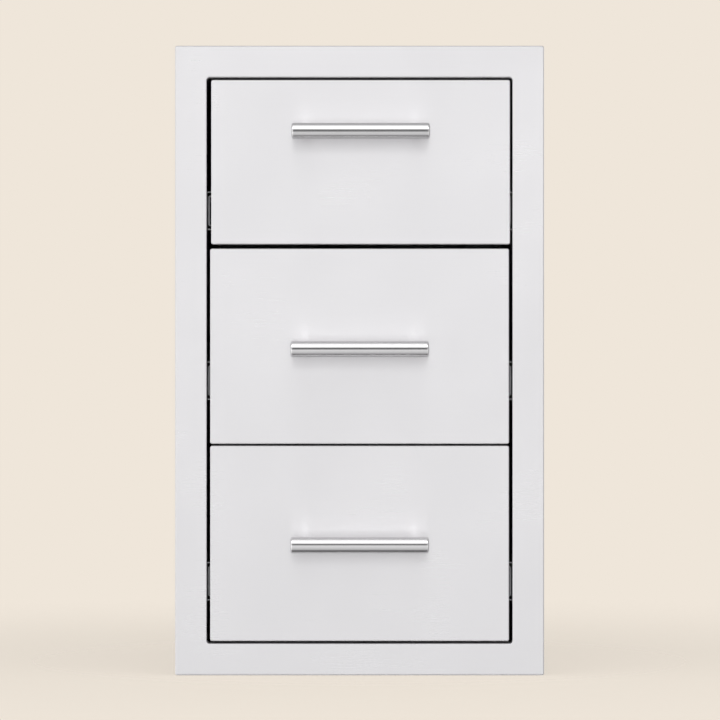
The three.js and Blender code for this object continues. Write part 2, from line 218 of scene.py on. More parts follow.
# A lamp marked with material slots lights only the pieces in them
lamps = {
    "topBox": {"at": (0.3, -1.5, 2.4), "towards": (0, 0.1, 0), "size": (3.2, 2.4), "watts": 33,
               "slots": ("floor", "tray", "liner", "rail", "cage", "screw")},
    "backBox": {"at": (2.2, 3.0, 0.9), "towards": (0, 0.5, 0), "size": (1.8, 1.8), "watts": 13},
    "frontBank": {"at": (0, -12, 1.2), "towards": (0, 0, 0), "size": (12, 6.5), "watts": 290,
                  "slots": ("frame", "front")},
    "leftEdge": {"at": (-3.2, -1.0, 0), "towards": (0, 0, 0), "size": (1.4, 3), "watts": 8,
                 "slots": ("frame", "front")},
    "lowEdge": {"at": (0, -0.65, -3.2), "towards": (0, 0, 0), "size": (3, 0.9), "watts": 14,
                "slots": ("frame", "front")},
    "barHigh": {"at": (0, -2.05, 2.12), "towards": (0, 0, 0), "size": (4, 3.0), "watts": 15,
                "slots": ("bar",)},
    "barStreak": {"at": (0, -2.15, 2.0), "towards": (0, 0, 0), "size": (4, 0.75), "watts": 34,
                  "slots": ("bar",)},
    "barLow": {"at": (0, -1.2, -2.3), "towards": (0, 0, -2.3), "size": (4, 4.2), "watts": 18,
               "spread": 160, "slots": ("bar",)},
}


def addLamps():
    for name, lamp in lamps.items():
        bpy.ops.object.light_add(type="AREA", location=lamp["at"])
        light = bpy.context.object
        light.name = name
        aim = Vector(lamp["towards"]) - Vector(lamp["at"])
        light.rotation_euler = aim.to_track_quat("-Z", "Y").to_euler()
        light.data.shape = "RECTANGLE"
        light.data.size, light.data.size_y = lamp["size"]
        light.data.energy = lamp["watts"]
        light.data.spread = math.radians(lamp.get("spread", 180))
        light.visible_camera = False
        if "slots" in lamp:
            light.light_linking.receiver_collection = bpy.data.collections.new(name)


# Puts a piece under the lamps that are kept for its slot
def lightOnly(piece, slot):
    for name, lamp in lamps.items():
        if slot in lamp.get("slots", ()):
            bpy.data.objects[name].light_linking.receiver_collection.objects.link(piece)


# The floor only holds the shadow near the unit and fades into the background
def addFloor():
    bpy.ops.mesh.primitive_circle_add(
        vertices=studio["floorFacets"], radius=studio["floorRadius"], fill_type="NGON",
        location=(0, cadHigh.y / 2, cadLow.z - studio["floorDrop"]),
    )
    floor = bpy.context.object
    floor.name = "floor"
    bpy.ops.object.transform_apply(location=True, rotation=False, scale=False)
    floor.visible_glossy = False
    floor.visible_shadow = False
    lightOnly(floor, "floor")
    material = bpy.data.materials.new("paleFloor")
    material.use_nodes = True
    tree = material.node_tree
    tree.nodes.clear()
    place = addNode(tree, "ShaderNodeTexCoord", (-900, 0))
    length = addNode(tree, "ShaderNodeVectorMath", (-700, 0), operation="DISTANCE")
    length.inputs[1].default_value = (0, cadHigh.y / 2, cadLow.z)
    fade = addFade(tree, (-500, 0), studio["floorFade"], (studio["floorShare"], 0))
    clear = addNode(tree, "ShaderNodeBsdfTransparent", (-200, 100))
    matt = addNode(tree, "ShaderNodeBsdfDiffuse", (-200, -100))
    matt.inputs["Color"].default_value = (*studio["background"], 1)
    both = addNode(tree, "ShaderNodeMixShader", (0, 0))
    out = addNode(tree, "ShaderNodeOutputMaterial", (200, 0))
    tree.links.new(place.outputs["Object"], length.inputs[0])
    tree.links.new(length.outputs["Value"], fade.inputs["Value"])
    tree.links.new(fade.outputs[0], both.inputs[0])
    tree.links.new(clear.outputs[0], both.inputs[1])
    tree.links.new(matt.outputs[0], both.inputs[2])
    tree.links.new(both.outputs[0], out.inputs[0])
    floor.data.materials.append(material)


addCamera()
buildWorld()
addLamps()
addFloor()
bpy.context.scene.view_settings.view_transform = "Standard"
print("studio ready")


# Finishes

# Long fine lines of a brushed face and soft clouds over it, both a little over and under 0
def grainGroup():
    tree, start, end = newGroup(
        "brushedGrain",
        [("Place", "NodeSocketVector", None), ("Lines", "NodeSocketVector", (14, 700, 700)),
         ("Cloudy", "NodeSocketFloat", 9.0)],
        [("Line", "NodeSocketFloat"), ("Cloud", "NodeSocketFloat")],
    )
    stretch = addNode(tree, "ShaderNodeVectorMath", (-600, 100), operation="MULTIPLY")
    fine = addNode(tree, "ShaderNodeTexNoise", (-400, 100),
                   inputs={"Scale": 1.0, "Detail": 4.0, "Roughness": 0.7})
    cloud = addNode(tree, "ShaderNodeTexNoise", (-400, -200),
                    inputs={"Detail": 3.0, "Roughness": 0.55})
    fineMiddle = addNode(tree, "ShaderNodeMath", (-200, 100), operation="SUBTRACT", inputs={1: 0.5})
    cloudMiddle = addNode(tree, "ShaderNodeMath", (-200, -200), operation="SUBTRACT", inputs={1: 0.5})
    join = tree.links.new
    join(start.outputs["Place"], stretch.inputs[0])
    join(start.outputs["Lines"], stretch.inputs[1])
    join(stretch.outputs[0], fine.inputs["Vector"])
    join(start.outputs["Place"], cloud.inputs["Vector"])
    join(start.outputs["Cloudy"], cloud.inputs["Scale"])
    join(fine.outputs[0], fineMiddle.inputs[0])
    join(cloud.outputs[0], cloudMiddle.inputs[0])
    join(fineMiddle.outputs[0], end.inputs["Line"])
    join(cloudMiddle.outputs[0], end.inputs["Cloud"])
    return tree


# Takes a colour and a roughness a little up and down with two patterns
def toneGroup():
    tree, start, end = newGroup(
        "steelTone",
        [("Line", "NodeSocketFloat", 0.0), ("Cloud", "NodeSocketFloat", 0.0),
         ("Colour", "NodeSocketColor", (0.8, 0.8, 0.8, 1)), ("Line Tone", "NodeSocketFloat", 0.1),
         ("Cloud Tone", "NodeSocketFloat", 0.05), ("Rough", "NodeSocketFloat", 0.3),
         ("Line Rough", "NodeSocketFloat", 0.1), ("Cloud Rough", "NodeSocketFloat", 0.1)],
        [("Colour", "NodeSocketColor"), ("Rough", "NodeSocketFloat")],
    )
    join = tree.links.new
    lineTone = addNode(tree, "ShaderNodeMath", (-600, 200), operation="MULTIPLY_ADD", inputs={2: 1.0})
    bothTone = addNode(tree, "ShaderNodeMath", (-400, 200), operation="MULTIPLY_ADD")
    tinted = addNode(tree, "ShaderNodeVectorMath", (-200, 200), operation="SCALE")
    lineRough = addNode(tree, "ShaderNodeMath", (-600, -200), operation="MULTIPLY_ADD")
    bothRough = addNode(tree, "ShaderNodeMath", (-400, -200), operation="MULTIPLY_ADD")
    join(start.outputs["Line"], lineTone.inputs[0])
    join(start.outputs["Line Tone"], lineTone.inputs[1])
    join(start.outputs["Cloud"], bothTone.inputs[0])
    join(start.outputs["Cloud Tone"], bothTone.inputs[1])
    join(lineTone.outputs[0], bothTone.inputs[2])
    join(start.outputs["Colour"], tinted.inputs[0])
    join(bothTone.outputs[0], tinted.inputs["Scale"])
    join(tinted.outputs[0], end.inputs["Colour"])
    join(start.outputs["Line"], lineRough.inputs[0])
    join(start.outputs["Line Rough"], lineRough.inputs[1])
    join(start.outputs["Rough"], lineRough.inputs[2])
    join(start.outputs["Cloud"], bothRough.inputs[0])
    join(start.outputs["Cloud Rough"], bothRough.inputs[1])
    join(lineRough.outputs[0], bothRough.inputs[2])
    join(bothRough.outputs[0], end.inputs["Rough"])
    return tree


grain = grainGroup()
tone = toneGroup()
grainHeight = 0.001

# The small numbers give the grain a direction on faces that look along the line too
widthwise, depthwise = (1, 0.02, 0.01), (0.02, 1, 0.01)

finishes = {
    "brushedFace": {
        "colour": (0.84, 0.83, 0.845), "rough": 0.29, "brushed": 0.95, "grainAlong": widthwise,
        "lines": (14, 1500, 1500), "cloudy": 7, "lineTone": 0.035, "cloudTone": 0.04,
        "lineRough": 0.06, "cloudRough": 0.08, "bump": 0.012,
    },
    "brushedBar": {
        "colour": (0.80, 0.79, 0.80), "rough": 0.2, "brushed": 0.8, "turnedAbout": widthwise,
        "lines": (900, 60, 60), "cloudy": 40, "lineTone": 0.05, "cloudTone": 0.04,
        "lineRough": 0.1, "cloudRough": 0.06, "bump": 0.02,
    },
    "millSheet": {
        "colour": (0.6, 0.6, 0.6), "rough": 0.4, "brushed": 0.4, "grainAlong": depthwise,
        "lines": (600, 12, 600), "cloudy": 11, "lineTone": 0.07, "cloudTone": 0.06,
        "lineRough": 0.1, "cloudRough": 0.07, "bump": 0.02,
    },
    "traySheet": {
        "colour": (0.68, 0.68, 0.685), "rough": 0.36, "brushed": 0.4, "grainAlong": depthwise,
        "lines": (700, 14, 700), "cloudy": 13, "lineTone": 0.06, "cloudTone": 0.05,
        "lineRough": 0.1, "cloudRough": 0.06, "bump": 0.015,
    },
    "zincRail": {
        "colour": (0.55, 0.56, 0.57), "rough": 0.33, "brushed": 0.3, "grainAlong": depthwise,
        "lines": (300, 20, 300), "cloudy": 60, "lineTone": 0.12, "cloudTone": 0.14,
        "lineRough": 0.14, "cloudRough": 0.18, "bump": 0.03,
    },
    "cageStrip": {
        "colour": (0.46, 0.47, 0.48), "rough": 0.38, "brushed": 0.2, "grainAlong": depthwise,
        "lines": (300, 30, 300), "cloudy": 90, "lineTone": 0.12, "cloudTone": 0.14,
        "lineRough": 0.14, "cloudRough": 0.18, "bump": 0.03,
    },
    "ballSteel": {
        "colour": (0.72, 0.72, 0.73), "rough": 0.12, "brushed": 0.0, "grainAlong": widthwise,
        "lines": (900, 900, 900), "cloudy": 400, "lineTone": 0.04, "cloudTone": 0.06,
        "lineRough": 0.04, "cloudRough": 0.06, "bump": 0.0,
    },
    "plainScrew": {
        "colour": (0.6, 0.6, 0.605), "rough": 0.28, "brushed": 0.1, "grainAlong": depthwise,
        "lines": (500, 500, 500), "cloudy": 200, "lineTone": 0.1, "cloudTone": 0.1,
        "lineRough": 0.12, "cloudRough": 0.14, "bump": 0.03,
    },
}


# Gives a shader its colour and roughness from the two groups
def addTones(tree, look, shader):
    place = addNode(tree, "ShaderNodeTexCoord", (-1000, 0))
    pattern = addNode(tree, "ShaderNodeGroup", (-800, 0), node_tree=grain,
                      inputs={"Lines": look["lines"], "Cloudy": look["cloudy"]})
    tones = addNode(tree, "ShaderNodeGroup", (-500, 0), node_tree=tone, inputs={
        "Colour": (*look["colour"], 1), "Rough": look["rough"],
        "Line Tone": look["lineTone"], "Cloud Tone": look["cloudTone"],
        "Line Rough": look["lineRough"], "Cloud Rough": look["cloudRough"],
    })
    join = tree.links.new
    join(place.outputs["Object"], pattern.inputs["Place"])
    join(pattern.outputs["Line"], tones.inputs["Line"])
    join(pattern.outputs["Cloud"], tones.inputs["Cloud"])
    join(tones.outputs["Colour"], shader.inputs["Base Color"])
    join(tones.outputs["Rough"], shader.inputs["Roughness"])
    return pattern


def metal(name):
    look = finishes[name]
    material = bpy.data.materials.new(name)
    material.use_nodes = True
    tree = material.node_tree
    tree.nodes.clear()
    bump = addNode(tree, "ShaderNodeBump", (-500, -350),
                   inputs={"Strength": look["bump"], "Distance": grainHeight})
    surface = addNode(tree, "ShaderNodeNewGeometry", (-800, -600))
    across = addNode(tree, "ShaderNodeVectorMath", (-500, -600), operation="CROSS_PRODUCT")
    across.inputs[1].default_value = look.get("grainAlong", look.get("turnedAbout"))
    shader = addNode(tree, "ShaderNodeBsdfPrincipled", (-100, 0),
                     inputs={"Metallic": 1.0, "Anisotropic": look["brushed"]})
    out = addNode(tree, "ShaderNodeOutputMaterial", (200, 0))
    pattern = addTones(tree, look, shader)
    join = tree.links.new
    join(pattern.outputs["Line"], bump.inputs["Height"])
    join(surface.outputs["Normal"], across.inputs[0])
    if "turnedAbout" in look:
        lengthwise = addNode(tree, "ShaderNodeVectorMath", (-300, -600), operation="CROSS_PRODUCT")
        join(surface.outputs["Normal"], lengthwise.inputs[0])
        join(across.outputs[0], lengthwise.inputs[1])
        join(lengthwise.outputs[0], shader.inputs["Tangent"])
    else:
        join(across.outputs[0], shader.inputs["Tangent"])
    join(bump.outputs[0], shader.inputs["Normal"])
    join(shader.outputs[0], out.inputs[0])
    return material


metals = {name: metal(name) for name in finishes}

padRubber = {
    "colour": (0.09, 0.09, 0.088), "rough": 0.7, "lines": (900, 900, 900), "cloudy": 300,
    "lineTone": 0.3, "cloudTone": 0.3, "lineRough": 0.1, "cloudRough": 0.1,
}


def rubber():
    material = bpy.data.materials.new("greyRubber")
    material.use_nodes = True
    addTones(material.node_tree, padRubber, material.node_tree.nodes["Principled BSDF"])
    return material


metals["greyRubber"] = rubber()
slotFinish = {
    "frame": "brushedFace", "front": "brushedFace", "bar": "brushedBar", "box": "millSheet",
    "liner": "traySheet", "tray": "traySheet", "rail": "zincRail", "cage": "cageStrip",
    "screw": "plainScrew",
}
slotOfNode = {row["node"]: row["material_slot"] for row in frame["record"]["subparts"]}
bodyOfNode = {name: body for body, names in frame["record"]["behaviour"]["bodies"].items()
              for name in names}
for nodeName, node in nodes.items():
    for held in node.material_slots:
        held.material = metals[slotFinish[slotOfNode[nodeName]]]
print("finishes ready:", len(metals))


# Modelling steps that many pieces share

# Shares of an edge's direction or of a face's that lie along an axis
wholly, mostly, partly, hardly = 0.99, 0.9, 0.5, 0.1
# Reaches for places that an earlier step has moved a little
closely, loosely = 0.0001, 0.001


def startPiece(name):
    piece = bpy.context.object
    piece.name = name
    piece.data.name = name
    bpy.ops.object.transform_apply(location=True, rotation=True, scale=True)
    return piece


def chooseOnly(piece):
    bpy.ops.object.select_all(action="DESELECT")
    bpy.context.view_layer.objects.active = piece
    piece.select_set(True)


def editOn(piece):
    chooseOnly(piece)
    bpy.ops.object.mode_set(mode="EDIT")


def editOff():
    bpy.ops.object.mode_set(mode="OBJECT")


def pickAll():
    bpy.ops.mesh.select_all(action="SELECT")


# Selects the points, edges or faces that pass a test on their middle and their direction
def pick(kind, test):
    bpy.ops.mesh.select_mode(type=kind)
    bpy.ops.mesh.select_all(action="DESELECT")
    shape = bpy.context.edit_object.data
    mesh = bmesh.from_edit_mesh(shape)
    mesh.normal_update()
    if kind == "VERT":
        for point in mesh.verts:
            if test(point.co):
                point.select_set(True)
    elif kind == "EDGE":
        for edge in mesh.edges:
            first, second = (corner.co for corner in edge.verts)
            if test((first + second) / 2, (second - first).normalized()):
                edge.select_set(True)
    else:
        for face in mesh.faces:
            if test(face.calc_center_median(), face.normal):
                face.select_set(True)
    mesh.select_flush_mode()
    bmesh.update_edit_mesh(shape)


def roundOff(radius, steps):
    bpy.ops.mesh.bevel(offset=radius, segments=steps, affect="EDGES", clamp_overlap=False)


def drawOut(x, y, z):
    bpy.ops.mesh.extrude_region_move(TRANSFORM_OT_translate={"value": (x, y, z)})


def near(value, target, reach=0.00002):
    return abs(value - target) < reach


def useModifier(piece, kind, **settings):
    chooseOnly(piece)
    modifier = piece.modifiers.new(kind.lower(), kind)
    for key, value in settings.items():
        setattr(modifier, key, value)
    bpy.ops.object.modifier_apply(modifier=modifier.name)


shading = {
    "smoothUpTo": 32,          # degrees between two faces
    "largeFaces": 60,          # how far they lead the shading of the small ones beside them
}


def finishPiece(piece, finish, body, slot):
    chooseOnly(piece)
    bpy.ops.object.shade_smooth_by_angle(angle=math.radians(shading["smoothUpTo"]))
    useModifier(piece, "WEIGHTED_NORMAL", keep_sharp=True, weight=shading["largeFaces"])
    if finish:
        piece.data.materials.clear()
        piece.data.materials.append(metals[finish])
    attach(piece, body)
    lightOnly(piece, slot)


def finishInPlaceOf(nodeName, piece, finish):
    finishPiece(piece, finish, bodyOfNode[nodeName], slotOfNode[nodeName])
    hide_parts(nodeName)


def joinPieces(pieces):
    bpy.ops.object.select_all(action="DESELECT")
    for piece in pieces:
        piece.select_set(True)
    bpy.context.view_layer.objects.active = pieces[0]
    if len(pieces) > 1:
        bpy.ops.object.join()
    return bpy.context.view_layer.objects.active


# Joins, cuts or keeps the common part of two pieces; the second one is used up
def combine(piece, other, operation):
    useModifier(piece, "BOOLEAN", operation=operation, solver="EXACT", object=other)
    bpy.data.objects.remove(other)


alongAxis = {"x": (0, quarterTurn, 0), "y": (-quarterTurn, 0, 0), "z": (0, 0, 0)}


# Round pins along an axis, drawn out along Y where a slot is wanted, as one object
def pins(places, radius, length, axis, slot=0, facets=24):
    made = []
    for place in places:
        bpy.ops.mesh.primitive_cylinder_add(
            vertices=facets, radius=radius, depth=length, location=place, rotation=alongAxis[axis])
        pin = startPiece("pin")
        if slot:
            editOn(pin)
            pick("VERT", lambda at: at.y > place[1])
            bpy.ops.transform.translate(value=(0, slot / 2, 0))
            pick("VERT", lambda at: at.y < place[1])
            bpy.ops.transform.translate(value=(0, -slot / 2, 0))
            editOff()
        made.append(pin)
    return joinPieces(made)


# One face with round corners, across X and up Z, looking towards -Y, left as the active object
def roundedFace(width, height, corner, at, steps):
    bpy.ops.mesh.primitive_plane_add(size=1, rotation=(quarterTurn, 0, 0), location=at)
    plate = bpy.context.object
    plate.scale = (width, height, 1)
    bpy.ops.object.transform_apply(location=True, rotation=True, scale=True)
    editOn(plate)
    pickAll()
    bpy.ops.mesh.bevel(offset=corner, segments=steps, affect="VERTICES")
    editOff()


# Draws a lip inwards from the open edge at y, all round
def turnLipIn(edgeY, middle, width, height, lip):
    pick("EDGE", lambda at, along: near(at.y, edgeY) and abs(along.y) < partly)
    bpy.ops.mesh.extrude_edges_move(TRANSFORM_OT_translate={"value": (0, 0, 0)})
    bpy.ops.transform.resize(
        value=((width - 2 * lip) / width, 1, (height - 2 * lip) / height), center_override=middle
    )


# Trim frame

trimFrame = {
    "border": 0.0372,          # outer edge to the opening
    "sheet": 0.0012,
    "fold": 0.0015,            # outside radius
    "corner": 0.0024,
    "openingCorner": 0.0032,
    "seatLip": 0.012,
    "steps": 4,
}


def buildTrimFrame():
    low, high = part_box("front_frame")
    width, height = high.x - low.x, high.z - low.z
    openX, openZ = width / 2 - trimFrame["border"], height / 2 - trimFrame["border"]
    bpy.ops.mesh.primitive_plane_add(size=1, rotation=(quarterTurn, 0, 0))
    bpy.context.object.scale = (width, height, 1)
    ring = startPiece("trim_frame")
    editOn(ring)
    pickAll()
    drawOut(0, low.y, 0)
    bpy.ops.mesh.inset(thickness=trimFrame["border"])
    drawOut(0, high.y - low.y, 0)
    bpy.ops.mesh.delete(type="ONLY_FACE")
    pick("FACE", lambda at, facing: near(at.y, 0) and abs(facing.y) > mostly)
    bpy.ops.mesh.delete(type="ONLY_FACE")
    pickAll()
    bpy.ops.mesh.bisect(plane_co=(0, 0, 0), plane_no=(1, 0, 0))
    pick("EDGE", lambda at, along: abs(along.x) > hardly and abs(along.z) > hardly)  # mitre lines
    bpy.ops.mesh.dissolve_edges(use_verts=False)
    pick("EDGE", lambda at, along: abs(along.y) > mostly and near(abs(at.x), width / 2, loosely))
    roundOff(trimFrame["corner"], trimFrame["steps"])
    pick("EDGE", lambda at, along: abs(along.y) > mostly and near(abs(at.x), openX, loosely))
    roundOff(trimFrame["openingCorner"], trimFrame["steps"])
    turnLipIn(0, (0, 0, 0), width, height, trimFrame["seatLip"])
    rimX, rimZ = width / 2 - trimFrame["corner"], height / 2 - trimFrame["corner"]
    pick("EDGE", lambda at, along: abs(along.y) < partly and (
        (near(at.y, low.y) or near(at.y, 0)) and (abs(at.x) > rimX or abs(at.z) > rimZ)
        or near(at.y, low.y) and abs(at.x) < openX + closely and abs(at.z) < openZ + closely))
    roundOff(trimFrame["fold"], trimFrame["steps"])
    editOff()
    useModifier(ring, "SOLIDIFY", thickness=trimFrame["sheet"], offset=-1, use_even_offset=True)
    finishInPlaceOf("front_frame", ring, "brushedFace")


# Drawer fronts

frontSkin = {
    "sheet": 0.001,
    "fold": 0.0013,
    "corner": 0.0024,
    "lip": 0.01,
    "steps": 4,
}


def buildFrontSkin(drawer):
    low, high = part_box(drawer + "_front_skin")
    width, height = high.x - low.x, high.z - low.z
    middle = (low + high) / 2
    steps = frontSkin["steps"]
    roundedFace(width, height, frontSkin["corner"], (middle.x, high.y, middle.z), steps)
    skin = startPiece(drawer + "_front")
    editOn(skin)
    pickAll()
    drawOut(0, low.y - high.y, 0)
    pick("FACE", lambda at, facing: near(at.y, high.y))
    bpy.ops.mesh.delete(type="ONLY_FACE")
    turnLipIn(high.y, (middle.x, high.y, middle.z), width, height, frontSkin["lip"])
    rimX, rimZ = width / 2 - frontSkin["corner"], height / 2 - frontSkin["corner"]
    pick("EDGE", lambda at, along: abs(along.y) < partly
         and (near(at.y, low.y) or near(at.y, high.y))
         and (abs(at.x - middle.x) > rimX or abs(at.z - middle.z) > rimZ))
    roundOff(frontSkin["fold"], steps)
    editOff()
    useModifier(skin, "SOLIDIFY", thickness=frontSkin["sheet"], offset=-1, use_even_offset=True)
    finishInPlaceOf(drawer + "_front_skin", skin, "brushedFace")


# The plate that closes the back of a front, with spot welds along its edges
liner = {
    "corner": 0.0018,
    "edge": 0.0002,
    "steps": 4,
    "edgeSteps": 2,
    "weld": 0.0026,            # radius of a spot weld
    "weldDepth": 0.00012,
    "weldInset": 0.006,
    "weldPitch": 0.045,
}


def evenly(low, high, pitch):
    count = max(1, round((high - low) / pitch))
    return [low + (high - low) * step / count for step in range(count + 1)]


def buildLiner(drawer):
    nodeName = drawer + "_front_liner"
    low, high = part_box(nodeName)
    middle = (low + high) / 2
    roundedFace(high.x - low.x, high.z - low.z, liner["corner"], (middle.x, high.y, middle.z),
                liner["steps"])
    plate = startPiece(drawer + "_liner")
    editOn(plate)
    pickAll()
    drawOut(0, low.y - high.y, 0)
    pickAll()
    bpy.ops.mesh.normals_make_consistent(inside=False)
    pick("EDGE", lambda at, along: abs(along.y) < partly)
    roundOff(liner["edge"], liner["edgeSteps"])
    editOff()
    inset = liner["weldInset"]
    welds = [(x, high.y, z) for x in evenly(low.x + inset, high.x - inset, liner["weldPitch"])
             for z in (low.z + inset, high.z - inset)]
    welds += [(x, high.y, z) for x in (low.x + inset, high.x - inset)
              for z in evenly(low.z + inset, high.z - inset, liner["weldPitch"])[1:-1]]
    combine(plate, pins(welds, liner["weld"], 2 * liner["weldDepth"], "y"), "DIFFERENCE")
    finishInPlaceOf(nodeName, plate, "traySheet")


# Handles: a round bar on two posts

handle = {
    "barFacets": 96,
    "postFacets": 48,
    "barEdge": 0.0028,
    "edgeSteps": 6,
    "fineSteps": 3,
    "saddleGap": 0.0003,       # between a post and the bar
    "footEdge": 0.0004,
    "beadReach": 0.0009,       # weld bead where a post meets the bar
    "beadRound": 0.0006,
}


def buildBar(drawer):
    low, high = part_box(drawer + "_handle_bar")
    middle = (low + high) / 2
    bpy.ops.mesh.primitive_cylinder_add(
        vertices=handle["barFacets"], radius=(high.z - low.z) / 2, depth=high.x - low.x,
        location=middle, rotation=(0, quarterTurn, 0),
    )
    bar = startPiece(drawer + "_bar")
    editOn(bar)
    pick("EDGE", lambda at, along: abs(along.x) < partly)
    roundOff(handle["barEdge"], handle["edgeSteps"])
    editOff()
    finishInPlaceOf(drawer + "_handle_bar", bar, "brushedBar")


def buildPost(drawer, side):
    nodeName = f"{drawer}_handle_{side}_post"
    low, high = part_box(nodeName)
    middle = (low + high) / 2
    barLow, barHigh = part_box(drawer + "_handle_bar")
    barMiddle = (barLow + barHigh) / 2
    radius, barRadius = (high.x - low.x) / 2, (barHigh.z - barLow.z) / 2
    bpy.ops.mesh.primitive_cylinder_add(
        vertices=handle["postFacets"], radius=radius, depth=high.y - barMiddle.y,
        location=(middle.x, (barMiddle.y + high.y) / 2, middle.z), rotation=alongAxis["y"],
    )
    post = startPiece(f"{drawer}_{side}_post")
    editOn(post)
    pick("EDGE", lambda at, along: near(at.y, high.y) and abs(along.y) < partly)
    roundOff(handle["footEdge"], handle["fineSteps"])
    editOff()
    onBar = [(middle.x, barMiddle.y, barMiddle.z)]
    beadRadius = radius + handle["beadReach"]
    beadRise = barRadius + handle["saddleGap"] + handle["beadReach"]
    bead = pins([(middle.x, barMiddle.y + beadRise / 2, middle.z)], beadRadius, beadRise, "y",
                facets=handle["postFacets"])
    combine(bead, pins(onBar, beadRise, 4 * radius, "x", facets=handle["barFacets"]), "INTERSECT")
    combine(post, bead, "UNION")
    combine(post, pins(onBar, barRadius + handle["saddleGap"], 4 * radius, "x",
                       facets=handle["barFacets"]), "DIFFERENCE")
    editOn(post)
    pick("EDGE", lambda at, along: math.hypot(at.x - middle.x, at.z - middle.z) > beadRadius - closely
         and math.hypot(at.y - barMiddle.y, at.z - barMiddle.z) > beadRise - closely)
    roundOff(handle["beadRound"], handle["fineSteps"])
    editOff()
    finishInPlaceOf(nodeName, post, "brushedBar")


# Pan head with a cross recess, seated on the inside of the tray's front wall
handleScrew = {
    "headHeight": 0.003,
    "headRound": 0.0019,
    "headSteps": 6,
    "shank": 0.0025,
    "point": 0.0008,
    "recess": (0.0052, 0.0011),   # length and width of the cross
    "recessDepth": 0.0017,
    "recessTaper": 0.6,
    "facets": 48,
}


def crossCutter(at):
    arms = []
    long, wide = handleScrew["recess"]
    for size in ((long, wide), (wide, long)):
        bpy.ops.mesh.primitive_cube_add(size=1, location=at)
        bpy.context.object.scale = (size[0], 2 * handleScrew["recessDepth"], size[1])
        arm = startPiece("arm")
        editOn(arm)
        pick("FACE", lambda spot, facing: facing.y < -mostly)
        taper = handleScrew["recessTaper"]
        bpy.ops.transform.resize(value=(taper, 1, taper), center_override=at)
        editOff()
        arms.append(arm)
    combine(arms[0], arms[1], "UNION")
    return arms[0]


def buildHandleScrew(drawer, side):
    nodeName = f"{drawer}_handle_{side}_screw"
    low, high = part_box(nodeName)
    middle = (low + high) / 2
    radius, seat = (high.x - low.x) / 2, high.y - handleScrew["headHeight"]
    bpy.ops.mesh.primitive_cylinder_add(
        vertices=handleScrew["facets"], radius=radius, depth=handleScrew["headHeight"],
        location=(middle.x, (seat + high.y) / 2, middle.z), rotation=alongAxis["y"],
    )
    screw = startPiece(f"{drawer}_{side}_screw")
    editOn(screw)
    pick("FACE", lambda at, facing: facing.y < -mostly)
    bpy.ops.mesh.inset(thickness=radius - handleScrew["shank"])
    drawOut(0, low.y - seat, 0)
    pick("EDGE", lambda at, along: near(at.y, high.y) and abs(along.y) < partly)
    roundOff(handleScrew["headRound"], handleScrew["headSteps"])
    pick("EDGE", lambda at, along: near(at.y, low.y) and abs(along.y) < partly)
    roundOff(handleScrew["point"], 1)
    editOff()
    combine(screw, crossCutter((middle.x, high.y, middle.z)), "DIFFERENCE")
    finishInPlaceOf(nodeName, screw, "plainScrew")


buildTrimFrame()
for drawer in drawers:
    buildFrontSkin(drawer)
    buildLiner(drawer)
    buildBar(drawer)
    for side in sides:
        buildPost(drawer, side)
        buildHandleScrew(drawer, side)
print("fronts and handles built")


# Trays: folded sheet with a closed hem along the top edge

tray = {
    "sheet": 0.001,
    "corner": 0.005,
    "fold": 0.002,
    "hem": 0.01,
    "hemSheet": 0.00094,
    "hemRound": 0.0008,
    "hemSteps": 4,
    "hemEnd": 0.0002,
    "hemEndSteps": 2,
    "steps": 5,
}


# How far a point near the tray's wall is from the wall's outside
def depthIn(at, low, high):
    corner = tray["corner"]
    across = max(corner - min(at.x - low.x, high.x - at.x), 0)
    along = max(corner - min(at.y - low.y, high.y - at.y), 0)
    return corner - math.hypot(across, along)


def buildTray(drawer):
    nodeName = drawer + "_drawer_tray"
    low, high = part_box(nodeName)
    middle = (low + high) / 2
    bpy.ops.mesh.primitive_plane_add(
        size=1, location=(middle.x, middle.y, high.z), rotation=(2 * quarterTurn, 0, 0))
    bpy.context.object.scale = (high.x - low.x, high.y - low.y, 1)
    shell = startPiece(drawer + "_tray")
    editOn(shell)
    pickAll()
    bpy.ops.mesh.bevel(offset=tray["corner"], segments=tray["steps"], affect="VERTICES")
    pickAll()
    drawOut(0, 0, low.z - high.z)
    pick("FACE", lambda at, facing: near(at.z, high.z))
    bpy.ops.mesh.delete(type="ONLY_FACE")
    pick("EDGE", lambda at, along: near(at.z, low.z))
    roundOff(tray["fold"], tray["steps"])
    pickAll()
    bpy.ops.mesh.bisect(plane_co=(0, 0, high.z - tray["hem"]), plane_no=(0, 0, 1))
    editOff()
    useModifier(shell, "SOLIDIFY", thickness=tray["sheet"], offset=-1, use_even_offset=True)
    editOn(shell)
    pick("FACE", lambda at, facing: at.z > high.z - tray["hem"] and abs(facing.z) < partly
         and facing.x * (at.x - middle.x) + facing.y * (at.y - middle.y) < 0)
    bpy.ops.mesh.extrude_region_shrink_fatten(
        TRANSFORM_OT_shrink_fatten={"value": tray["hemSheet"], "use_even_offset": True})
    for level in (high.z, high.z - tray["hem"]):  # its two rims stay level
        pick("VERT", lambda at: near(at.z, level, tray["hem"] / 4))
        bpy.ops.transform.resize(value=(1, 1, 0), center_override=(0, 0, level))
    hemDepth = tray["sheet"] + tray["hemSheet"]
    pick("EDGE", lambda at, along: near(at.z, high.z) and (
        near(depthIn(at, low, high), 0, closely) or near(depthIn(at, low, high), hemDepth, closely)))
    roundOff(tray["hemRound"], tray["hemSteps"])
    pick("EDGE", lambda at, along: near(at.z, high.z - tray["hem"])
         and near(depthIn(at, low, high), hemDepth, closely))
    roundOff(tray["hemEnd"], tray["hemEndSteps"])
    editOff()
    finishInPlaceOf(nodeName, shell, "traySheet")


# Slides

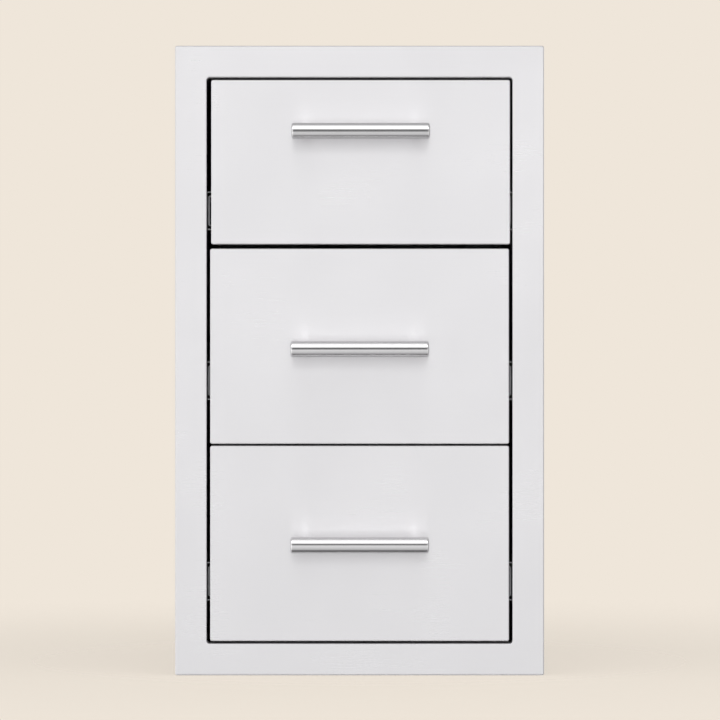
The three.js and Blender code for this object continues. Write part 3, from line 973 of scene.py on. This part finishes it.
slide = {
    "rail": {"sheet": 0.0012, "fold": 0.0017},
    "cage": {"sheet": 0.0006, "fold": 0.0009},
    "ball": 0.00175,
    "ballsPerRace": 3,
    "ballFacets": (20, 12),
    "steps": 3,
    "bendRound": 0.2,                  # share of the fold radius
    "bendSteps": 2,
    "holeShares": (0.075, 0.5, 0.925),  # along a rail
    "slotShares": (0.16, 0.3, 0.7, 0.84),
    "hole": 0.0027,
    "slot": (0.0024, 0.011),           # radius and length of the straight part
    "window": 0.0021,                  # radius round a ball in its cage
    "windowFacets": 20,
    "windowShares": (0.33, 0.67),      # of the long windows in the cage's web
}

# How far each flange stands back from its widest place, against the distance from the web
railShapes = {
    "cabinet_rail": ((0.0039, 0.0004), (0.0050, 0.0), (0.0071, 0.0), (0.0082, 0.0004), (1, 0.0004)),
    "intermediate_rail": ((0.0024, 0.0), (0.0032, 0.00025), (0.0042, 0.00025), (0.0050, 0.0),
                          (1, 0.0)),
    "drawer_rail": ((0.0040, 0.0), (0.0047, 0.0003), (0.0057, 0.0003), (0.0065, 0.0), (1, 0.0)),
}


# A channel along Y: a web upright in X, and two flanges that follow a shape of (across, drop)
def buildChannel(name, low, high, webX, tipX, shape, sheet, fold):
    middle = (low + high) / 2
    halfHeight = (high.z - low.z) / 2
    towards = 1 if tipX > webX else -1
    rootDrop = shape[-1][1]
    bpy.ops.mesh.primitive_plane_add(
        size=1, location=(webX, middle.y, middle.z), rotation=(0, -towards * quarterTurn, 0))
    bpy.context.object.scale = (2 * (halfHeight - rootDrop), high.y - low.y, 1)
    channel = startPiece(name)
    editOn(channel)
    pick("EDGE", lambda at, along: abs(along.y) > mostly)
    here, drop = 0, rootDrop
    for across, nextDrop in shape:
        there = min(across, abs(tipX - webX))
        bpy.ops.mesh.extrude_edges_move(
            TRANSFORM_OT_translate={"value": (towards * (there - here), 0, 0)})
        bpy.ops.transform.resize(value=(1, 1, (halfHeight - nextDrop) / (halfHeight - drop)),
                                 center_override=middle)
        here, drop = there, nextDrop
    pick("EDGE", lambda at, along: abs(along.y) > mostly and near(at.x, webX))
    roundOff(fold, slide["steps"])
    # the bends of the ball race lie between the fold and the tip
    pick("EDGE", lambda at, along: abs(along.y) > mostly
         and fold * 1.1 < abs(at.x - webX) < abs(tipX - webX) - fold / 2)
    roundOff(fold * slide["bendRound"], slide["bendSteps"])
    editOff()
    useModifier(channel, "SOLIDIFY", thickness=sheet, offset=-1, use_even_offset=True)
    return channel


def sharesOf(low, high, shares):
    return [low.y + (high.y - low.y) * share for share in shares]


def buildRail(drawer, side, kind):
    nodeName = f"{drawer}_{side}_{kind}"
    low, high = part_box(nodeName)
    middle = (low + high) / 2
    wallwards = sides[side]
    outerX, innerX = (high.x, low.x) if wallwards > 0 else (low.x, high.x)
    webX, tipX = (innerX, outerX) if kind == "drawer_rail" else (outerX, innerX)
    rail = buildChannel(nodeName + "_formed", low, high, webX, tipX, railShapes[kind],
                        slide["rail"]["sheet"], slide["rail"]["fold"])
    through = 4 * slide["rail"]["sheet"]
    holes = [(webX, y, middle.z) for y in sharesOf(low, high, slide["holeShares"])]
    slots = [(webX, y, middle.z) for y in sharesOf(low, high, slide["slotShares"])]
    radius, length = slide["slot"]
    combine(rail, pins(holes, slide["hole"], through, "x"), "DIFFERENCE")
    combine(rail, pins(slots, radius, through, "x", slot=length), "DIFFERENCE")
    finishInPlaceOf(nodeName, rail, "zincRail")


def buildCage(drawer, side, kind):
    nodeName = f"{drawer}_{side}_{kind}"
    low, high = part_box(nodeName)
    middle = (low + high) / 2
    wallwards = sides[side]
    webX, tipX = (high.x, low.x) if wallwards > 0 else (low.x, high.x)
    race = (high.z - low.z) / 2 - slide["ball"]
    halfSheet = Vector((0, 0, slide["ball"] - slide["cage"]["sheet"] / 2))
    cage = buildChannel(nodeName + "_formed", low + halfSheet, high - halfSheet, webX, tipX,
                        ((1, 0),), slide["cage"]["sheet"], slide["cage"]["fold"])
    count = slide["ballsPerRace"]
    alongs = sharesOf(low, high, [(step + 0.5) / count for step in range(count)])
    ballX = (webX + tipX) / 2
    places = [(ballX, y, middle.z + up * race) for y in alongs for up in (1, -1)]
    combine(cage, pins(places, slide["window"], 2 * slide["ball"], "z",
                       facets=slide["windowFacets"]), "DIFFERENCE")
    windows = [(webX, y, middle.z) for y in sharesOf(low, high, slide["windowShares"])]
    combine(cage, pins(windows, race / 2, 4 * slide["cage"]["sheet"], "x", slot=race * 2),
            "DIFFERENCE")
    cage.data.materials.append(metals["cageStrip"])
    balls = []
    segments, rings = slide["ballFacets"]
    for place in places:
        bpy.ops.mesh.primitive_uv_sphere_add(
            segments=segments, ring_count=rings, radius=slide["ball"], location=place)
        ball = startPiece("ball")
        ball.data.materials.append(metals["ballSteel"])
        balls.append(ball)
    cage = joinPieces([cage] + balls)
    finishInPlaceOf(nodeName, cage, None)


for drawer in drawers:
    buildTray(drawer)
    for side in sides:
        for kind in railShapes:
            buildRail(drawer, side, kind)
        for kind in ("outer_cage", "inner_cage"):
            buildCage(drawer, side, kind)
print("trays and slides built")


# Box: folded panels, spot-welded along their flanges

box = {
    "sheet": 0.001,
    "fold": 0.0016,
    "backCorner": 0.002,
    "flange": 0.012,
    "steps": 4,
    "edge": 0.0002,
    "edgeSteps": 2,
    "weld": 0.003,             # radius of a spot weld
    "weldDepth": 0.00012,
    "weldPitch": 0.055,
    "pressInset": 0.045,       # pressed field in the back panel
    "pressDepth": 0.0025,
    "pressSlope": 0.007,
    "pressRound": 0.0016,
    "pressSteps": 3,
    "fitGap": 0.0003,          # between a flange and the back panel
}


def buildSidePanel(side):
    nodeName = side + "_side_panel"
    low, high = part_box(nodeName)
    outwards = sides[side]
    webX, tipX = (high.x, low.x) if outwards > 0 else (low.x, high.x)
    panel = buildChannel(side + "_side", low, high, webX, tipX, ((1, 0),), box["sheet"], box["fold"])
    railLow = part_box(f"upper_{side}_cabinet_rail")[0]
    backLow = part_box("back_panel")[0]
    # the flanges stop short of the frame's return and of the back panel's flange
    inner = webX - outwards * box["sheet"]
    spare = box["flange"]      # the cutters reach this far past the flanges
    atFront = low.y - spare, railLow.y
    atBack = backLow.y - box["fitGap"], high.y + spare
    for start, end in (atFront, atBack):
        bpy.ops.mesh.primitive_cube_add(
            size=1, location=((inner + tipX - outwards * spare) / 2, (start + end) / 2, 0))
        bpy.context.object.scale = (abs(inner - tipX) + spare, end - start, 2 * (high.z - low.z))
        combine(panel, startPiece("notch"), "DIFFERENCE")
    finishInPlaceOf(nodeName, panel, "millSheet")


# Spot welds along both sides and the back of a flat panel
def weldMarks(low, high, level):
    inset = box["flange"] / 2
    alongs = evenly(low.y + 3 * inset, high.y - 3 * inset, box["weldPitch"])
    acrosses = evenly(low.x + 3 * inset, high.x - 3 * inset, box["weldPitch"])
    marks = [(x, y, level) for x in (low.x + inset, high.x - inset) for y in alongs]
    return marks + [(x, high.y - inset, level) for x in acrosses]


def buildFlatPanel(face):
    nodeName = face + "_panel"
    low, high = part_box(nodeName)
    outside = high.z if face == "top" else low.z
    bpy.ops.mesh.primitive_cube_add(size=1, location=(low + high) / 2)
    bpy.context.object.scale = high - low
    panel = startPiece(face + "_sheet")
    editOn(panel)
    pickAll()
    roundOff(box["edge"], box["edgeSteps"])
    editOff()
    combine(panel, pins(weldMarks(low, high, outside), box["weld"], 2 * box["weldDepth"], "z"),
            "DIFFERENCE")
    finishInPlaceOf(nodeName, panel, "millSheet")


def buildBackPanel():
    low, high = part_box("back_panel")
    middle = (low + high) / 2
    width, height = high.x - low.x, high.z - low.z
    roundedFace(width, height, box["backCorner"], (middle.x, low.y, middle.z), box["steps"])
    panel = startPiece("back_sheet")
    editOn(panel)
    pickAll()
    bpy.ops.mesh.flip_normals()
    drawOut(0, high.y - low.y, 0)
    pick("FACE", lambda at, facing: near(at.y, low.y))
    bpy.ops.mesh.delete(type="ONLY_FACE")
    pick("EDGE", lambda at, along: near(at.y, high.y))
    roundOff(box["fold"], box["steps"])
    pressX, pressZ = width / 2 - box["pressInset"], height / 2 - box["pressInset"]
    for line, across in (((pressX, 0, 0), (1, 0, 0)), ((-pressX, 0, 0), (1, 0, 0)),
                         ((0, 0, pressZ), (0, 0, 1)), ((0, 0, -pressZ), (0, 0, 1))):
        pickAll()
        bpy.ops.mesh.bisect(plane_co=line, plane_no=across)
    pick("FACE", lambda at, facing: facing.y > wholly and abs(at.x) < pressX and abs(at.z) < pressZ)
    bpy.ops.mesh.inset(thickness=box["pressSlope"], depth=-box["pressDepth"])
    pick("EDGE", lambda at, along: abs(along.y) < hardly and (
        near(at.y, high.y - box["pressDepth"])
        or near(at.y, high.y) and (near(abs(at.x), pressX) and abs(at.z) < pressZ
                                   or near(abs(at.z), pressZ) and abs(at.x) < pressX)))
    roundOff(box["pressRound"], box["pressSteps"])
    editOff()
    useModifier(panel, "SOLIDIFY", thickness=box["sheet"], offset=-1, use_even_offset=True)
    finishInPlaceOf("back_panel", panel, "millSheet")


for side in sides:
    buildSidePanel(side)
for face in ("top", "bottom"):
    buildFlatPanel(face)
buildBackPanel()
print("box built")


# Fasteners of the slides: low round heads on the box's sides and inside the trays

rivet = {
    "head": 0.004,
    "rise": 0.0011,
    "round": 0.0008,
    "steps": 4,
    "rim": 0.0014,             # round the dimple in its top
    "dimple": 0.0008 / 3,
    "facets": 32,
}


def rivetHead(at, outwards):
    bpy.ops.mesh.primitive_cylinder_add(
        vertices=rivet["facets"], radius=rivet["head"], depth=rivet["rise"],
        location=(at[0] + outwards * rivet["rise"] / 2, at[1], at[2]), rotation=alongAxis["x"],
    )
    head = startPiece("head")
    outerX = at[0] + outwards * rivet["rise"]
    editOn(head)
    pick("EDGE", lambda spot, along: near(spot.x, outerX) and abs(along.x) < partly)
    roundOff(rivet["round"], rivet["steps"])
    pick("FACE", lambda spot, facing: near(spot.x, outerX))
    bpy.ops.mesh.inset(thickness=rivet["rim"], depth=-rivet["dimple"])
    editOff()
    return head


def buildRivets(drawer, side):
    outwards = sides[side]
    wallLow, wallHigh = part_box(side + "_side_panel")
    railLow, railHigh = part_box(f"{drawer}_{side}_cabinet_rail")
    alongs = sharesOf(railLow, railHigh, slide["holeShares"])
    level = (railLow.z + railHigh.z) / 2
    wallX = wallHigh.x if outwards > 0 else wallLow.x
    onWall = joinPieces([rivetHead((wallX, y, level), outwards) for y in alongs])
    onWall.name = f"{drawer}_{side}_wall_rivets"
    finishPiece(onWall, "plainScrew", "cabinet", "screw")
    trayLow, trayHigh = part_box(drawer + "_drawer_tray")
    trayX = (trayHigh.x if outwards > 0 else trayLow.x) - outwards * tray["sheet"]
    inTray = joinPieces([rivetHead((trayX, y, level), -outwards) for y in alongs])
    inTray.name = f"{drawer}_{side}_tray_rivets"
    finishPiece(inTray, "plainScrew", drawer + "_drawer", "screw")


# A soft stop stuck under the frame's top return
stopPad = {
    "across": 0.134,
    "along": -0.003,
    "size": (0.021, 0.012, 0.0014),
    "edge": 0.0004,
    "steps": 3,
}


def buildStopPad():
    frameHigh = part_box("front_frame")[1]
    openTop = frameHigh.z - trimFrame["border"]
    level = openTop - stopPad["size"][2] / 2
    bpy.ops.mesh.primitive_cube_add(size=1, location=(stopPad["across"], stopPad["along"], level))
    bpy.context.object.scale = stopPad["size"]
    pad = startPiece("stop_pad")
    editOn(pad)
    pick("EDGE", lambda at, along: at.z < level or abs(along.z) > partly)
    roundOff(stopPad["edge"], stopPad["steps"])
    editOff()
    finishPiece(pad, "greyRubber", "cabinet", "rail")


for drawer in drawers:
    for side in sides:
        buildRivets(drawer, side)
buildStopPad()
print("fasteners built")
